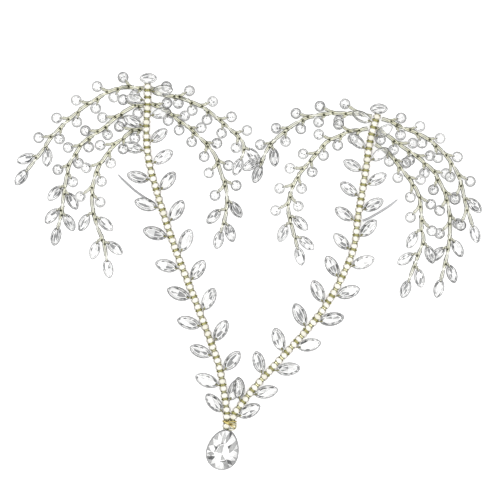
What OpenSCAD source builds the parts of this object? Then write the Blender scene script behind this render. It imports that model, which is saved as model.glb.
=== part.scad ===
// Forehead headband of wired stones, lying flat on its back.
// Two cup chains run down from the tops and meet in a V at a large drop stone.
// Stone leaves stand in pairs along both chains, and five wired branches of
// stones spread like a palm from the top of each chain.
// +X runs to the right, +Y from the drop up to the tops, +Z away from the skin.
// The origin is on the flat back of the drop, at the middle of its round end.

/* [Cup chain] */
// Outside width of one cup
cup_d = 2.5; // [2.3:0.05:2.55]
// Height of one cup
cup_h = 2; // [1.6:0.1:2.4]
// Thickness of the cup's wall and floor
cup_wall = 0.3; // [0.2:0.05:0.4]
// Depth of the seat for the stone in a cup
seat_depth = 0.7; // [0.4:0.1:1]
// Spacing from cup to cup, which the chain's length rounds off
cup_pitch = 3.1; // [3.05:0.05:3.3]
// Spacing of the last two cups, which the drop's binding passes between
end_pitch = 3.9; // [3.8:0.05:4.1]
// Width of the link between two cups
link_w = 0.9; // [0.6:0.1:1.2]
// Thickness of the link between two cups
link_t = 0.3; // [0.2:0.05:0.4]
// Height of the chain's underside above the surface
chain_lift = 0.5; // [0.5:0.05:0.7]

/* [Leaves] */
// Size of the leaf stones against those that the tables give
leaf_scale = 1; // [0.9:0.01:1.02]
// Width of a leaf stone as a share of its length
leaf_slim = 0.53; // [0.45:0.01:0.58]
// Thickness of a leaf stone
leaf_t = 1.9; // [1.5:0.1:1.95]
// Height of a leaf stone's back above the surface
leaf_lift = 1.8; // [1.8:0.05:1.85]
// Distance from the chain's middle line to a leaf's lower point
leaf_gap = 2.05; // [2:0.05:2.3]

/* [Branches] */
// Width of a branch's twisted pair of wires
spine_d = 1.1; // [0.8:0.05:1.1]
// Width of a sprig's twisted pair of wires
stem_d = 0.9; // [0.6:0.05:0.95]
// Width of a round stone
round_d = 4.4; // [3.8:0.1:4.4]
// Length of a branch's pointed stone
point_l = 8; // [7:0.1:8.2]
// Width of a branch's pointed stone
point_w = 4.2; // [3.6:0.1:4.3]
// Thickness of a branch's stones
bead_t = 1.55; // [1.2:0.05:1.55]
// Height of a branch's wires above the surface where it leaves the chain
root_z = 0.7; // [0.7:0.05:0.75]
// Height of a raised branch's wires above the surface
raised_z = 4.4; // [4.4:0.1:5.5]
// Length over which a raised branch climbs
climb = 8; // [6:0.5:10]

/* [Binding wire and pins] */
// Thickness of the wire that binds the leaves and the drop
tie_d = 0.4; // [0.3:0.05:0.4]
// Thickness of a hair pin's prong
pin_d = 0.8; // [0.6:0.05:0.8]

/* [Drop] */
// Radius of the drop's round end
drop_r = 7.05; // [6.5:0.05:7.1]
// Distance from the middle of the round end to the point
drop_tip = 10.9; // [10:0.1:10.9]
// Thickness of the drop stone
drop_t = 4.4; // [3.5:0.1:5]
// Turn of the drop's point to the right of straight up, in degrees
drop_turn = 14; // [10:1:18]

/* [Hidden] */

GOLD = "#d9bd52";
PALE_GOLD = "#d5cfa8";
GLASS = "#eef1f4";
STEEL = "#b9babd";

// Air between a stone and the wire that holds it
seat = 0.15;
// Air between other pieces
air = 0.1;
// A wire of six sides
WIRE_SIDES = 6;
// Steps of the smooth curve between two of its knots
CURVE_STEPS = 8;
// Distance between the rings of a swept wire
SPINE_STEP = 3;
BINDING_STEP = 5;
// Facets round the girdles of the stones
BEAD_SIDES = 8;
LEAF_SIDES = 12;
DROP_SIDES = 24;
// Height of a stone's widest outline, as a share of its thickness
GIRDLE = 0.36;
// How much more slender than an ellipse a pointed stone's tips are
POINTED = 1.3;
// Share of its angle to the branch that a pointed stone is turned by
POINT_FOLLOW = 0.75;

// Middle lines of the two chains, from their tops down to the drop
left_line = [[-32, 158.3], [-32, 148.5], [-32.5, 138], [-31.4, 125], [-27.7, 111], [-23.7, 98],
    [-18.1, 82], [-11.8, 66], [-5.8, 50], [-1.4, 37.5], [0.9, 25.5], [2, 17.5], [1.9, 11.3]];
right_line = [[67, 145.2], [64.9, 139], [63, 130], [61.9, 122], [60.2, 111.5], [58.4, 101], [57.1, 90],
    [53.8, 80], [47.4, 67.5], [40.2, 57], [31.3, 46.7], [21.7, 36.3], [13.8, 27.5], [8.2, 20.5],
    [4.9, 15.4], [4.6, 11.3]];

// One row for each leaf of a chain, top to bottom
AT = 0;      // distance down the chain
LEAN = 1;    // angle between the leaf and the chain
LENGTH = 2;  // length of the leaf stone
left_outer = [[7, 84, 7.6], [18, 66, 8.4], [28.5, 68, 8.8], [41, 60, 9.4], [53.5, 56, 9.8],
    [66.5, 54, 10.2], [81, 54, 9.8], [94.5, 47, 10], [107.5, 53, 10], [121, 48, 9.6],
    [134.5, 58, 10.4], [146, 38, 9.8]];
left_inner = [[3.5, 84, 8.8], [13.5, 72, 8.4], [25, 55, 8.4], [34.5, 69, 9.4], [46.5, 55, 9.4],
    [60.5, 50, 10], [74.5, 43, 10.2], [87.5, 55, 9.6], [101.5, 46, 10.2], [115.5, 51, 9.8],
    [128.5, 52, 10], [141.5, 34, 9.8]];
right_outer = [[9.5, 44, 8.2], [20, 48, 8.4], [30.5, 51, 8.8], [41.5, 53, 9.2], [53, 38, 9.4],
    [66, 47, 10], [80, 41, 10], [93, 41, 10.4], [107.5, 36, 10], [121, 41, 10.2], [135, 37, 10],
    [147, 34, 10.2]];
right_inner = [[4, 82, 8.4], [15.5, 55, 8.4], [25, 70, 8.4], [36, 62, 8.8], [46.5, 63, 9],
    [59.5, 60, 8.8], [72.5, 55, 9.6], [85.5, 58, 10], [98.5, 65, 10.2], [113, 61, 10],
    [126, 57, 9.4], [140.5, 40, 9.2]];
// Distances down the chains at which the branches leave them
left_roots = [2.5, 8.7, 19.2];
right_roots = [1.5, 6.3, 12.4];

// One row for each branch: its knots from the chain outwards, whether it is raised,
// and the distance at which it starts to climb
KNOTS = 0;
RAISED = 1;
CLIMB_AT = 2;
left_outer_high = [[[-34.1, 156.4], [-41.7, 156.7], [-48.2, 154.8], [-54.6, 151.1], [-60.4, 147.3],
    [-67.5, 141], [-73.3, 135], [-77.2, 129.2], [-83.4, 121.3]], true, 4];
left_outer_mid = [[[-34.2, 149], [-38.3, 148.3], [-44.7, 144.5], [-51.2, 139], [-58.9, 133.7],
    [-62.4, 129], [-65.8, 123], [-67.7, 112.7], [-69, 102.8], [-70.4, 96.8]], false, 0];
left_outer_low = [[[-34.6, 139], [-38.3, 138], [-42.6, 134.6], [-46, 132], [-50.3, 126.4],
    [-53.8, 120.4], [-55.4, 114], [-55.7, 107], [-53.8, 98], [-50.7, 90], [-49.5, 83]], true, -1];
left_inner_high = [[[-29.8, 156], [-26.7, 154.2], [-23.2, 153], [-20.2, 152.9], [-14.3, 150.8],
    [-8.9, 148.4], [-4, 145], [2.8, 139.3], [8.6, 133.6], [9.2, 128.8], [8.4, 126.4]], true, 8.5];
left_inner_low = [[[-29.7, 149.4], [-26.7, 147.9], [-23.2, 146.2], [-18.5, 142.4], [-14.3, 139.6],
    [-10.1, 135.7], [-6, 131.6], [-2.7, 127], [-0.6, 120.4], [1.9, 112.7], [1.8, 103.2],
    [-0.3, 95.3]], false, 0];
right_inner_high = [[[64.3, 144.2], [59.3, 145.3], [52.9, 145.6], [45.2, 145.4], [37.8, 144.1],
    [31, 140.8], [25.4, 136.5], [21.9, 133.3], [18.9, 129], [16.7, 123.4]], false, 0];
right_inner_low = [[[62.6, 139.1], [59.3, 138.5], [55, 137.8], [51.2, 136.1], [44.7, 132.9],
    [40.2, 127.7], [34, 120.4], [30.7, 114.8], [28.8, 108.4], [28.6, 102.8], [30.5, 95],
    [32.3, 88.2]], true, 2.5];
right_outer_high = [[[68.7, 143.2], [71.8, 142.3], [78.3, 139.1], [84.7, 136.5], [90.3, 132.9],
    [95.9, 127.5], [100.6, 120.6], [102.8, 114.4], [104.3, 107.5], [107.3, 97.8]], true, 5];
right_outer_mid = [[[67.3, 138.6], [71.4, 135.9], [77, 131.6], [83.4, 127.3], [90.3, 121.3],
    [93.5, 116.1], [96.3, 110.1], [97.7, 102.8], [98, 95], [96.9, 85.6], [94.2, 74.4]], false, 0];
right_outer_low = [[[65.9, 132.3], [68.6, 130.5], [72, 128.2], [75.9, 122.9], [80.4, 117.2],
    [83.9, 111.6], [85.4, 104.1], [85.6, 96.3], [86.4, 91.2], [84.7, 86], [80.2, 74]], true, 5];

// One row for each side of a branch, seen from the chain outwards. Its sprigs start at
// FIRST, stand PITCH apart and each gap is GROWTH longer than the one before.
// The round stones' distance from the branch goes from REACH to REACH_END and their
// angle to it from TURN to TURN_END; the pointed stones come after them.
FIRST = 0;
PITCH = 1;
GROWTH = 2;
ROUNDS = 3;
REACH = 4;
REACH_END = 5;
TURN = 6;
TURN_END = 7;
POINTS = 8;
POINT_REACH = 9;
POINT_TURN = 10;
left_outer_high_sides = [[0, 9.6, 0.25, 5, 4.5, 5.4, 44, 36, 1, 5.2, 38],
    [4.9, 9.5, 0.4, 5, 5.6, 6.2, 48, 40, 1, 5.3, 42]];
left_outer_mid_sides = [[0.6, 8.6, 0.1, 6, 2.9, 4.8, 62, 38, 2, 5.2, 50],
    [2, 9.8, 0, 5, 6.8, 5.8, 28, 40, 2, 5.5, 46]];
left_outer_low_sides = [[0, 8.3, 0.6, 5, 5, 5.4, 42, 46, 2, 5.5, 45],
    [2.8, 9.8, 0.5, 4, 6.9, 7.2, 30, 40, 2, 6.2, 52]];
left_inner_high_sides = [[0, 11.3, -0.8, 5, 6, 5.7, 42, 50, 1, 5.4, 52],
    [9.1, 8, 0.3, 5, 3.2, 5, 52, 56, 0, 0, 0]];
left_inner_low_sides = [[0, 9.2, 0, 6, 4.4, 6, 32, 44, 2, 5.5, 46],
    [6.4, 6.8, 0.75, 6, 3.4, 6.6, 50, 58, 1, 6.6, 52]];
right_inner_high_sides = [[10.1, 9.5, 0, 4, 4.4, 4.8, 38, 48, 1, 5.3, 56],
    [4.3, 11.4, -0.6, 5, 7, 5.4, 22, 38, 1, 5.3, 50]];
right_inner_low_sides = [[2.6, 8.6, 0.1, 6, 4.4, 6, 36, 50, 2, 5.9, 46],
    [7.5, 8.7, -0.1, 6, 5.9, 6.6, 44, 50, 1, 6, 48]];
right_outer_high_sides = [[3.1, 8.8, 0.5, 5, 4, 6.4, 36, 34, 1, 5.5, 42],
    [6, 9.4, 0.35, 6, 4.6, 8, 36, 36, 0, 0, 0]];
right_outer_mid_sides = [[9.7, 9.6, 0.2, 5, 6.8, 5, 36, 34, 2, 5.8, 42],
    [0, 7.3, 0.6, 7, 3, 6.8, 46, 44, 1, 5.7, 48]];
right_outer_low_sides = [[10.2, 9.4, 0.25, 4, 5.4, 7, 36, 40, 2, 6.2, 40],
    [4.7, 9, 0.5, 4, 4.4, 7, 38, 46, 2, 6.2, 48]];

// Middle lines of the two pins' prongs, from the free end to the chain
left_pin_line = [[-44.7, 119.3], [-41.7, 116.3], [-37.4, 112.4], [-32.5, 109], [-28.7, 106.6]];
right_pin_line = [[75.5, 108.6], [72.2, 106], [67.9, 103.2], [63.4, 100.7], [60.5, 99.4]];

// Smooth curve through the knots, each step a cubic that leaves a knot along the line
// between its neighbours
function knot(p, i) = i < 0 ? 2 * p[0] - p[1]
    : i >= len(p) ? 2 * p[len(p) - 1] - p[len(p) - 2] : p[i];
function cubic(a, b, c, d, t) = (2 * b + (c - a) * t + (2 * a - 5 * b + 4 * c - d) * t * t
    + (3 * b - a - 3 * c + d) * t * t * t) / 2;
function smooth(p) = [for (i = [0 : len(p) - 2], k = [0 : CURVE_STEPS - 1])
    cubic(knot(p, i - 1), knot(p, i), knot(p, i + 1), knot(p, i + 2), k / CURVE_STEPS),
    p[len(p) - 1]];

// A track is a curve as two lookup tables: distance to x, and distance to y
function distances(p) = [for (i = 0, s = 0; i < len(p); s = s + (i < len(p) - 1
    ? norm(p[i + 1] - p[i]) : 0), i = i + 1) s];
function track(knots) = let (p = smooth(knots), s = distances(p))
    [[for (i = [0 : len(p) - 1]) [s[i], p[i].x]], [for (i = [0 : len(p) - 1]) [s[i], p[i].y]]];
function length_of(t) = t[0][len(t[0]) - 1][0];
function spot(t, s) = [lookup(s, t[0]), lookup(s, t[1])];
function heading(t, s) = let (d = spot(t, s + 0.5) - spot(t, s - 0.5)) atan2(d.y, d.x);
function away(from, angle, distance) = from + distance * [cos(angle), sin(angle)];

// Outlines of the stones, their long axis along +X
function round_outline(d) = [for (i = [0 : BEAD_SIDES - 1])
    let (a = 360 * i / BEAD_SIDES) d / 2 * [cos(a), sin(a)]];
function pointed_outline(l, w, sides) = [for (i = [0 : sides - 1]) let (a = 360 * i / sides)
    [l / 2 * cos(a), w / 2 * sign(sin(a)) * pow(abs(sin(a)), POINTED)]];
function drop_outline() = [for (i = [0 : DROP_SIDES - 1]) let (a = 360 * i / DROP_SIDES)
    [drop_r * sign(cos(a)) * pow(abs(cos(a)), sin(a) > 0 ? 1.15 : 1),
     (sin(a) > 0 ? drop_tip : drop_r) * sin(a)]];

// Closed solid through rings of equal point counts, listed from its first end to its last
module skin(rings) {
    n = len(rings[0]);
    last = (len(rings) - 1) * n;
    polyhedron(points = [for (ring = rings) each ring],
        faces = concat([[for (i = [0 : n - 1]) i]], [[for (i = [n - 1 : -1 : 0]) last + i]],
            [for (r = [0 : len(rings) - 2], i = [0 : n - 1]) let (j = (i + 1) % n)
                [r * n + i, (r + 1) * n + i, (r + 1) * n + j, r * n + j]]));
}

// Cut stone with a flat back, a girdle, a row of facets and a table
module cut_stone(outline, t, table = 0.6, back = 0.84) {
    skin([for (level = [[back, 0], [1, GIRDLE * t], [table, t]])
        [for (p = outline) [level[0] * p.x, level[0] * p.y, level[1]]]]);
}

// Straight wire from one point to another
module rod(from, to, d) {
    v = to - from;
    translate(from) rotate([0, acos(v.z / norm(v)), atan2(v.y, v.x)])
        cylinder(h = norm(v), d = d, $fn = WIRE_SIDES);
}

// Bent wire: rods that run past each other at the corners
module bent_wire(points, d, past = 0.4) {
    for (i = [0 : len(points) - 2]) {
        v = (points[i + 1] - points[i]) / norm(points[i + 1] - points[i]);
        rod(points[i] - v * d * past, points[i + 1] + v * d * past, d);
    }
}

// Square turn of wire round something, seen along it
module wire_turn(half, low, high, d) {
    bent_wire([[0, -half, low], [0, -half, high], [0, half, high], [0, half, low], [0, -half, low]], d);
}

// Wire swept along a path, six-sided
module swept_wire(path, d) {
    skin([for (i = [0 : len(path) - 1])
        let (along = path[min(i + 1, len(path) - 1)] - path[max(i - 1, 0)],
            side = cross([0, 0, 1], along) / norm(cross([0, 0, 1], along)),
            up = cross(along, side) / norm(along))
        [for (k = [0 : WIRE_SIDES - 1]) let (a = 360 * (k + 0.5) / WIRE_SIDES)
            path[i] + d / 2 * (cos(a) * side + sin(a) * up)]]);
}

// Stations of a chain's cups and of the gaps between them
function cups_on(t) = round((length_of(t) - end_pitch - cup_d / 2) / cup_pitch) + 2;
function cup_at(t, i) = let (n = cups_on(t), run = length_of(t) - end_pitch - cup_d / 2)
    i == n - 1 ? length_of(t) : cup_d / 2 + run * i / (n - 2);
function gap_at(t, i) = (cup_at(t, i) + cup_at(t, i + 1)) / 2;
function nearest_gap(t, s) = max(0, min(cups_on(t) - 3,
    round((s - gap_at(t, 0)) / (cup_at(t, 1) - cup_at(t, 0)))));

// Chain of cups joined by flat links, each cup open on top for its stone
module chain(line) {
    t = track(line);
    n = cups_on(t);
    color(GOLD) translate([0, 0, chain_lift]) difference() {
        union() {
            for (i = [0 : n - 1]) translate(spot(t, cup_at(t, i))) cylinder(h = cup_h, d = cup_d, $fn = 24);
            for (i = [0 : n - 2]) let (a = spot(t, cup_at(t, i)), b = spot(t, cup_at(t, i + 1)))
                translate(a) rotate(atan2(b.y - a.y, b.x - a.x))
                    translate([0, -link_w / 2, 0]) cube([norm(b - a), link_w, link_t]);
        }
        for (i = [0 : n - 1]) translate(concat(spot(t, cup_at(t, i)), cup_h - seat_depth))
            cylinder(h = seat_depth + 1, d = cup_d - 2 * cup_wall, $fn = 24);
    }
}

// Height of the wire that passes over a chain between two cups
wrap_z = chain_lift + cup_h * 0.7;

// One wire that runs along the back of a chain and wraps round it at each leaf and branch
module binding_wire(line, stations) {
    t = track(line);
    low = tie_d / 2;
    gaps = [for (i = [0 : cups_on(t) - 3])
        if (len([for (s = stations) if (nearest_gap(t, s) == i) s]) > 0) i];
    from = gap_at(t, gaps[0]);
    to = gap_at(t, gaps[len(gaps) - 1]);
    steps = round((to - from) / BINDING_STEP);
    color(GOLD) {
        swept_wire([for (i = [0 : steps]) concat(spot(t, from + (to - from) * i / steps), low)], tie_d);
        for (i = gaps) translate(spot(t, gap_at(t, i))) rotate(heading(t, gap_at(t, i)))
            wire_turn(cup_d / 2 + air + tie_d / 2, low, wrap_z, tie_d);
    }
}

// Row of leaf stones along one side of a chain; side is 1 on the left going down, else -1.
// The last one may lie higher, over the last one of the other chain.
module leaves(line, rows, side, last_rise = 0) {
    t = track(line);
    for (i = [0 : len(rows) - 1]) {
        s = rows[i][AT];
        l = rows[i][LENGTH] * leaf_scale;
        lift = leaf_lift + (i == len(rows) - 1 ? last_rise : 0);
        base = away(spot(t, s), heading(t, s) + side * 90, leaf_gap);
        angle = heading(t, s) + side * (180 - rows[i][LEAN]);
        color(GLASS) translate(concat(away(base, angle, l / 2), lift)) rotate(angle)
            cut_stone(pointed_outline(l, l * leaf_slim, LEAF_SIDES), leaf_t);
    }
}

// Stone across the top end of a chain
module top_stone(line, shift = [0.4, 0.2], length = 7.4) {
    t = track(line);
    color(GLASS) translate(concat(spot(t, 0) + shift + [0, point_w / 2], leaf_lift))
        cut_stone(pointed_outline(length, point_w, LEAF_SIDES), leaf_t);
}

// Height of a branch's wire at a distance from the chain
function height_at(branch, s) = let (f = max(0, min(1, (s - branch[CLIMB_AT]) / climb)))
    root_z + (branch[RAISED] ? (raised_z - root_z) * f * f * (3 - 2 * f) : 0);

// Least distance of a round stone's middle from the middle of its branch's wire
beside = round_d / 2 + spine_d / 2 + 3 * seat;

// Sprigs of a branch: place on the wire, middle of the stone, angle of the stone, pointed
function mix_of(a, b, i, n) = a + (b - a) * i / max(1, n - 1);
function sprigs(branch, t, row, side) = [for (i = [0 : row[ROUNDS] + row[POINTS] - 1])
    let (s = row[FIRST] + i * row[PITCH] + i * (i - 1) / 2 * row[GROWTH],
        pointed = i >= row[ROUNDS],
        turn = pointed ? row[POINT_TURN] : mix_of(row[TURN], row[TURN_END], i, row[ROUNDS]),
        reach = pointed ? row[POINT_REACH] : max(mix_of(row[REACH], row[REACH_END], i, row[ROUNDS]),
            beside / sin(turn)),
        h = heading(t, s), z = height_at(branch, s))
    [concat(spot(t, s), z), concat(away(spot(t, s), h + side * turn, reach), z),
        h + side * turn * (pointed ? POINT_FOLLOW : 1), pointed]];
function tip_stone(branch, t) = let (s = length_of(t), h = heading(t, s), z = height_at(branch, s))
    [concat(spot(t, s), z), concat(away(spot(t, s), h, seat + point_l / 2), z), h, true];
function all_sprigs(branch, sides, t) = concat(sprigs(branch, t, sides[0], 1),
    sprigs(branch, t, sides[1], -1));

// Twisted wires of a branch: the main pair and a stem to each stone
module branch_wire(branch, sides) {
    t = track(branch[KNOTS]);
    steps = round(length_of(t) / SPINE_STEP);
    color(PALE_GOLD) {
        swept_wire([for (i = [0 : steps]) let (s = length_of(t) * i / steps)
            concat(spot(t, s), height_at(branch, s))], spine_d);
        for (g = all_sprigs(branch, sides, t)) {
            half = g[3] ? point_l / 2 : round_d / 2;
            edge = g[1] - half * [cos(g[2]), sin(g[2]), 0];
            rod(g[0], edge - seat * (edge - g[0]) / norm(edge - g[0]), stem_d);
        }
    }
}

// Stones of a branch, round ones first and pointed ones at the end
module branch_stones(branch, sides) {
    t = track(branch[KNOTS]);
    for (g = concat(all_sprigs(branch, sides, t), [tip_stone(branch, t)]))
        color(GLASS) translate(g[1] - [0, 0, GIRDLE * bead_t]) rotate(g[2])
            cut_stone(g[3] ? pointed_outline(point_l, point_w, BEAD_SIDES) : round_outline(round_d), bead_t);
}

// The drop lies on a flat back of full outline, with two rows of facets and a table above it
module drop_stone(drop_y = -0.7) {
    base = 0.3 * drop_t;
    color(GLASS) translate([0, drop_y]) rotate(-drop_turn) {
        linear_extrude(base) polygon(drop_outline());
        skin([for (level = [[1, base], [0.84, 0.7 * drop_t], [0.6, drop_t]])
            [for (p = drop_outline()) [level[0] * p.x, level[0] * p.y, level[1]]]]);
    }
}

// Three turns of wire round both chains above the last cups, and one end down to the drop
module drop_binding(turns = 3) {
    left = left_line[len(left_line) - 1];
    right = right_line[len(right_line) - 1];
    middle = (left + right) / 2;
    over = chain_lift + cup_h + air + tie_d / 2;
    color(GOLD) translate([middle.x, middle.y, 0]) {
        for (i = [0 : turns - 1])
            translate([0, end_pitch / 2 + (i - (turns - 1) / 2) * tie_d * 0.95, 0]) rotate(90)
                wire_turn(norm(left - right) / 2 + cup_d / 2 + air + tie_d / 2, tie_d / 2, wrap_z, tie_d);
        bent_wire([[-cup_d / 4, end_pitch / 2, wrap_z], [cup_d / 6, cup_d / 2 + air, over],
            [cup_d / 2, -cup_d / 3, over]], tie_d);
    }
}

// Prong of a pin that holds a chain in the hair
module hair_pin(line) {
    t = track(line);
    steps = round(length_of(t) / SPINE_STEP);
    color(STEEL) swept_wire([for (i = [0 : steps])
        concat(spot(t, length_of(t) * i / steps), pin_d / 2 + air)], pin_d);
}

// Distances down a chain of all that is wired to it
function stations(outer, inner, roots) = concat([for (r = outer) r[AT]], [for (r = inner) r[AT]], roots);

chain(left_line);  // left_chain
chain(right_line);  // right_chain
binding_wire(left_line, stations(left_outer, left_inner, left_roots));  // left_binding_wire
binding_wire(right_line, stations(right_outer, right_inner, right_roots));  // right_binding_wire
drop_stone();
drop_binding();
top_stone(left_line);  // left_top_stone
top_stone(right_line);  // right_top_stone
leaves(left_line, left_outer, -1);  // left_outer_leaves
leaves(left_line, left_inner, 1);  // left_inner_leaves
leaves(right_line, right_inner, -1, leaf_t + seat);  // right_inner_leaves
leaves(right_line, right_outer, 1);  // right_outer_leaves
branch_wire(left_outer_high, left_outer_high_sides);  // left_outer_high_wire
branch_stones(left_outer_high, left_outer_high_sides);  // left_outer_high_stones
branch_wire(left_outer_mid, left_outer_mid_sides);  // left_outer_mid_wire
branch_stones(left_outer_mid, left_outer_mid_sides);  // left_outer_mid_stones
branch_wire(left_outer_low, left_outer_low_sides);  // left_outer_low_wire
branch_stones(left_outer_low, left_outer_low_sides);  // left_outer_low_stones
branch_wire(left_inner_high, left_inner_high_sides);  // left_inner_high_wire
branch_stones(left_inner_high, left_inner_high_sides);  // left_inner_high_stones
branch_wire(left_inner_low, left_inner_low_sides);  // left_inner_low_wire
branch_stones(left_inner_low, left_inner_low_sides);  // left_inner_low_stones
branch_wire(right_inner_high, right_inner_high_sides);  // right_inner_high_wire
branch_stones(right_inner_high, right_inner_high_sides);  // right_inner_high_stones
branch_wire(right_inner_low, right_inner_low_sides);  // right_inner_low_wire
branch_stones(right_inner_low, right_inner_low_sides);  // right_inner_low_stones
branch_wire(right_outer_high, right_outer_high_sides);  // right_outer_high_wire
branch_stones(right_outer_high, right_outer_high_sides);  // right_outer_high_stones
branch_wire(right_outer_mid, right_outer_mid_sides);  // right_outer_mid_wire
branch_stones(right_outer_mid, right_outer_mid_sides);  // right_outer_mid_stones
branch_wire(right_outer_low, right_outer_low_sides);  // right_outer_low_wire
branch_stones(right_outer_low, right_outer_low_sides);  // right_outer_low_stones
hair_pin(left_pin_line);  // left_hair_pin
hair_pin(right_pin_line);  // right_hair_pin
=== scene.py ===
import bpy
import numpy as np
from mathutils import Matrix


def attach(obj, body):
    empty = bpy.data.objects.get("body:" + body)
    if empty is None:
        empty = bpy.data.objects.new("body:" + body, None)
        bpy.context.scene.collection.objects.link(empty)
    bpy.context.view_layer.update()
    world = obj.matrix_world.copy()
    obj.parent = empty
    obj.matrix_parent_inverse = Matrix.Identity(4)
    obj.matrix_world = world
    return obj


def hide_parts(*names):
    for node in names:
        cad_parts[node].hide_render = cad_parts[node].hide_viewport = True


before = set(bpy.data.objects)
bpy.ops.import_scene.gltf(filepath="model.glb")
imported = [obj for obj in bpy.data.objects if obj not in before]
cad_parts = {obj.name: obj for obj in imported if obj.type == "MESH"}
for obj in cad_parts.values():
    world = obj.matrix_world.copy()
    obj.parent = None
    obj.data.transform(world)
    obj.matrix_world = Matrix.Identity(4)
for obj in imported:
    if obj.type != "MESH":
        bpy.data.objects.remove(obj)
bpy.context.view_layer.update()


# ----------------------------------------------------------------
# The surface, the light and the camera. The headband lies on its back on plain white card,
# in soft light so strong that the card seems to glow. Metal and cut stones mirror a darker
# room all round. The camera looks straight down.
# ----------------------------------------------------------------

MM = 0.001
FLOOR_HALF = 6.0
FLOOR_DROP = 0.1 * MM
CARD_WHITES = (0.93, 0.93, 0.93, 1), (0.95, 0.95, 0.95, 1)
CARD_GRAIN, CARD_GLOW = 40, 0.5
ROOM_LEVEL, SKY_LEVEL = 0.10, 1.1
ROOM_TOP, SKY_FOOT = 0.40, 0.58
PICTURE_WIDTH = 215 * MM
PICTURE_MIDDLE = (12.04 * MM, 86.86 * MM)
CAMERA_HEIGHT = 1.6
SENSOR = 36.0


class Term:
    """A number that varies over a surface. Each operator adds the Math node of its name."""

    def __init__(self, nodes, socket):
        self.nodes, self.socket = nodes, socket

    def math(self, operation, other):
        return self.nodes.term("ShaderNodeMath", {"operation": operation}, {0: self, 1: other})

    def __add__(self, other):
        return self.math("ADD", other)

    __radd__ = __add__

    def __mul__(self, other):
        return self.math("MULTIPLY", other)

    __rmul__ = __mul__


class Nodes:
    """The nodes of a finish or of the sky. One method adds a node of any kind."""

    def __init__(self, owner):
        owner.use_nodes = True
        self.owner, self.tree = owner, owner.node_tree

    def put(self, node, sockets):
        """Gives each named or numbered socket its value, or links it to a term or a socket."""
        for key, value in sockets.items():
            if isinstance(value, Term):
                value = value.socket
            if isinstance(value, bpy.types.NodeSocket):
                self.tree.links.new(value, node.inputs[key])
            else:
                node.inputs[key].default_value = value
        return node

    def node(self, kind, settings=None, sockets=None):
        """Adds a node: its settings first, a ramp's stops among them, and then its sockets."""
        node = self.tree.nodes.new(kind)
        for key, value in (settings or {}).items():
            if key == "stops":
                elements = node.color_ramp.elements
                for place, _ in value[len(elements):]:
                    elements.new(place)
                for element, (place, level) in zip(elements, value):
                    element.position, element.color = place, (level, level, level, 1)
            else:
                setattr(node, key, value)
        return self.put(node, sockets or {})

    def term(self, kind, settings=None, sockets=None, output=0):
        """Adds a node and gives one of its outputs as a term."""
        return Term(self, self.node(kind, settings, sockets).outputs[output])

    def between(self, share, first, second):
        """The colour that lies at a share of the way from the first colour to the second."""
        mix = self.node("ShaderNodeMix", {"data_type": "RGBA"}, {0: share, 6: first, 7: second})
        return mix.outputs[2]


def finish(name, sockets):
    """A new material whose shader has these constant values; more is linked to it afterwards."""
    nodes = Nodes(bpy.data.materials.new(name))
    nodes.shader = nodes.put(nodes.tree.nodes["Principled BSDF"], sockets)
    return nodes


def grain(nodes, size):
    """Noise in the object's own coordinates, with grains of about this size in millimetres."""
    place = nodes.node("ShaderNodeTexCoord").outputs["Object"]
    return nodes.term("ShaderNodeTexNoise", None,
                      {"Vector": place, "Scale": 1 / (size * MM), "Detail": 2.0})


def mesh_object(name, points, faces, nodes):
    """A mesh from an array of points in metres and arrays of faces. All faces of one array have
    the same number of corners."""
    mesh = bpy.data.meshes.new(name)
    corners = np.concatenate([f.ravel() for f in faces]).astype(np.int32)
    sizes = np.concatenate([np.full(len(f), f.shape[1]) for f in faces])
    mesh.vertices.add(len(points))
    mesh.vertices.foreach_set("co", np.asarray(points, np.float32).ravel())
    mesh.loops.add(len(corners))
    mesh.loops.foreach_set("vertex_index", corners)
    mesh.polygons.add(len(sizes))
    mesh.polygons.foreach_set("loop_start", (np.cumsum(sizes) - sizes).astype(np.int32))
    mesh.update(calc_edges=True)
    mesh.materials.append(nodes.owner)
    thing = bpy.data.objects.new(name, mesh)
    bpy.context.scene.collection.objects.link(thing)
    return thing


def soft_box(name, place, size, power):
    """A square area light that faces the middle of the headband."""
    lamp = bpy.data.lights.new(name, "AREA")
    lamp.size, lamp.energy = size, power
    thing = bpy.data.objects.new(name, lamp)
    thing.location = place
    aim = np.array([*PICTURE_MIDDLE, 0]) - place
    thing.rotation_euler = (np.arctan2(np.hypot(aim[0], aim[1]), -aim[2]), 0,
                            np.arctan2(aim[1], aim[0]) - np.pi / 2)
    bpy.context.scene.collection.objects.link(thing)


card = finish("lit_white_card", {"Roughness": 0.9, "Specular IOR Level": 0.1,
                                 "Emission Color": (1, 1, 1, 1), "Emission Strength": CARD_GLOW})
card.put(card.shader, {"Base Color": card.between(grain(card, CARD_GRAIN), *CARD_WHITES)})
corner = FLOOR_HALF * np.array([[-1, -1, 0], [1, -1, 0], [1, 1, 0], [-1, 1, 0]])
floor = mesh_object("floor", corner - [0, 0, FLOOR_DROP], [np.array([[0, 1, 2, 3]])], card)

sky = Nodes(bpy.data.worlds.new("studio"))
bpy.context.scene.world = sky.owner
direction = sky.node("ShaderNodeTexCoord").outputs["Generated"]
upward = sky.term("ShaderNodeSeparateXYZ", None, {0: direction}, 2)
level = sky.node("ShaderNodeValToRGB", {"stops": [
    (0.0, ROOM_LEVEL), (ROOM_TOP, ROOM_LEVEL), (SKY_FOOT, 1.0), (1.0, 1.0)]}, {0: upward})
sky.put(sky.tree.nodes["Background"], {"Color": level.outputs[0], "Strength": SKY_LEVEL})
soft_box("key_light", place=(-0.7, 0.9, 1.3), size=0.5, power=4)
soft_box("fill_light", place=(0.9, -0.5, 1.2), size=0.4, power=2)

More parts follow.
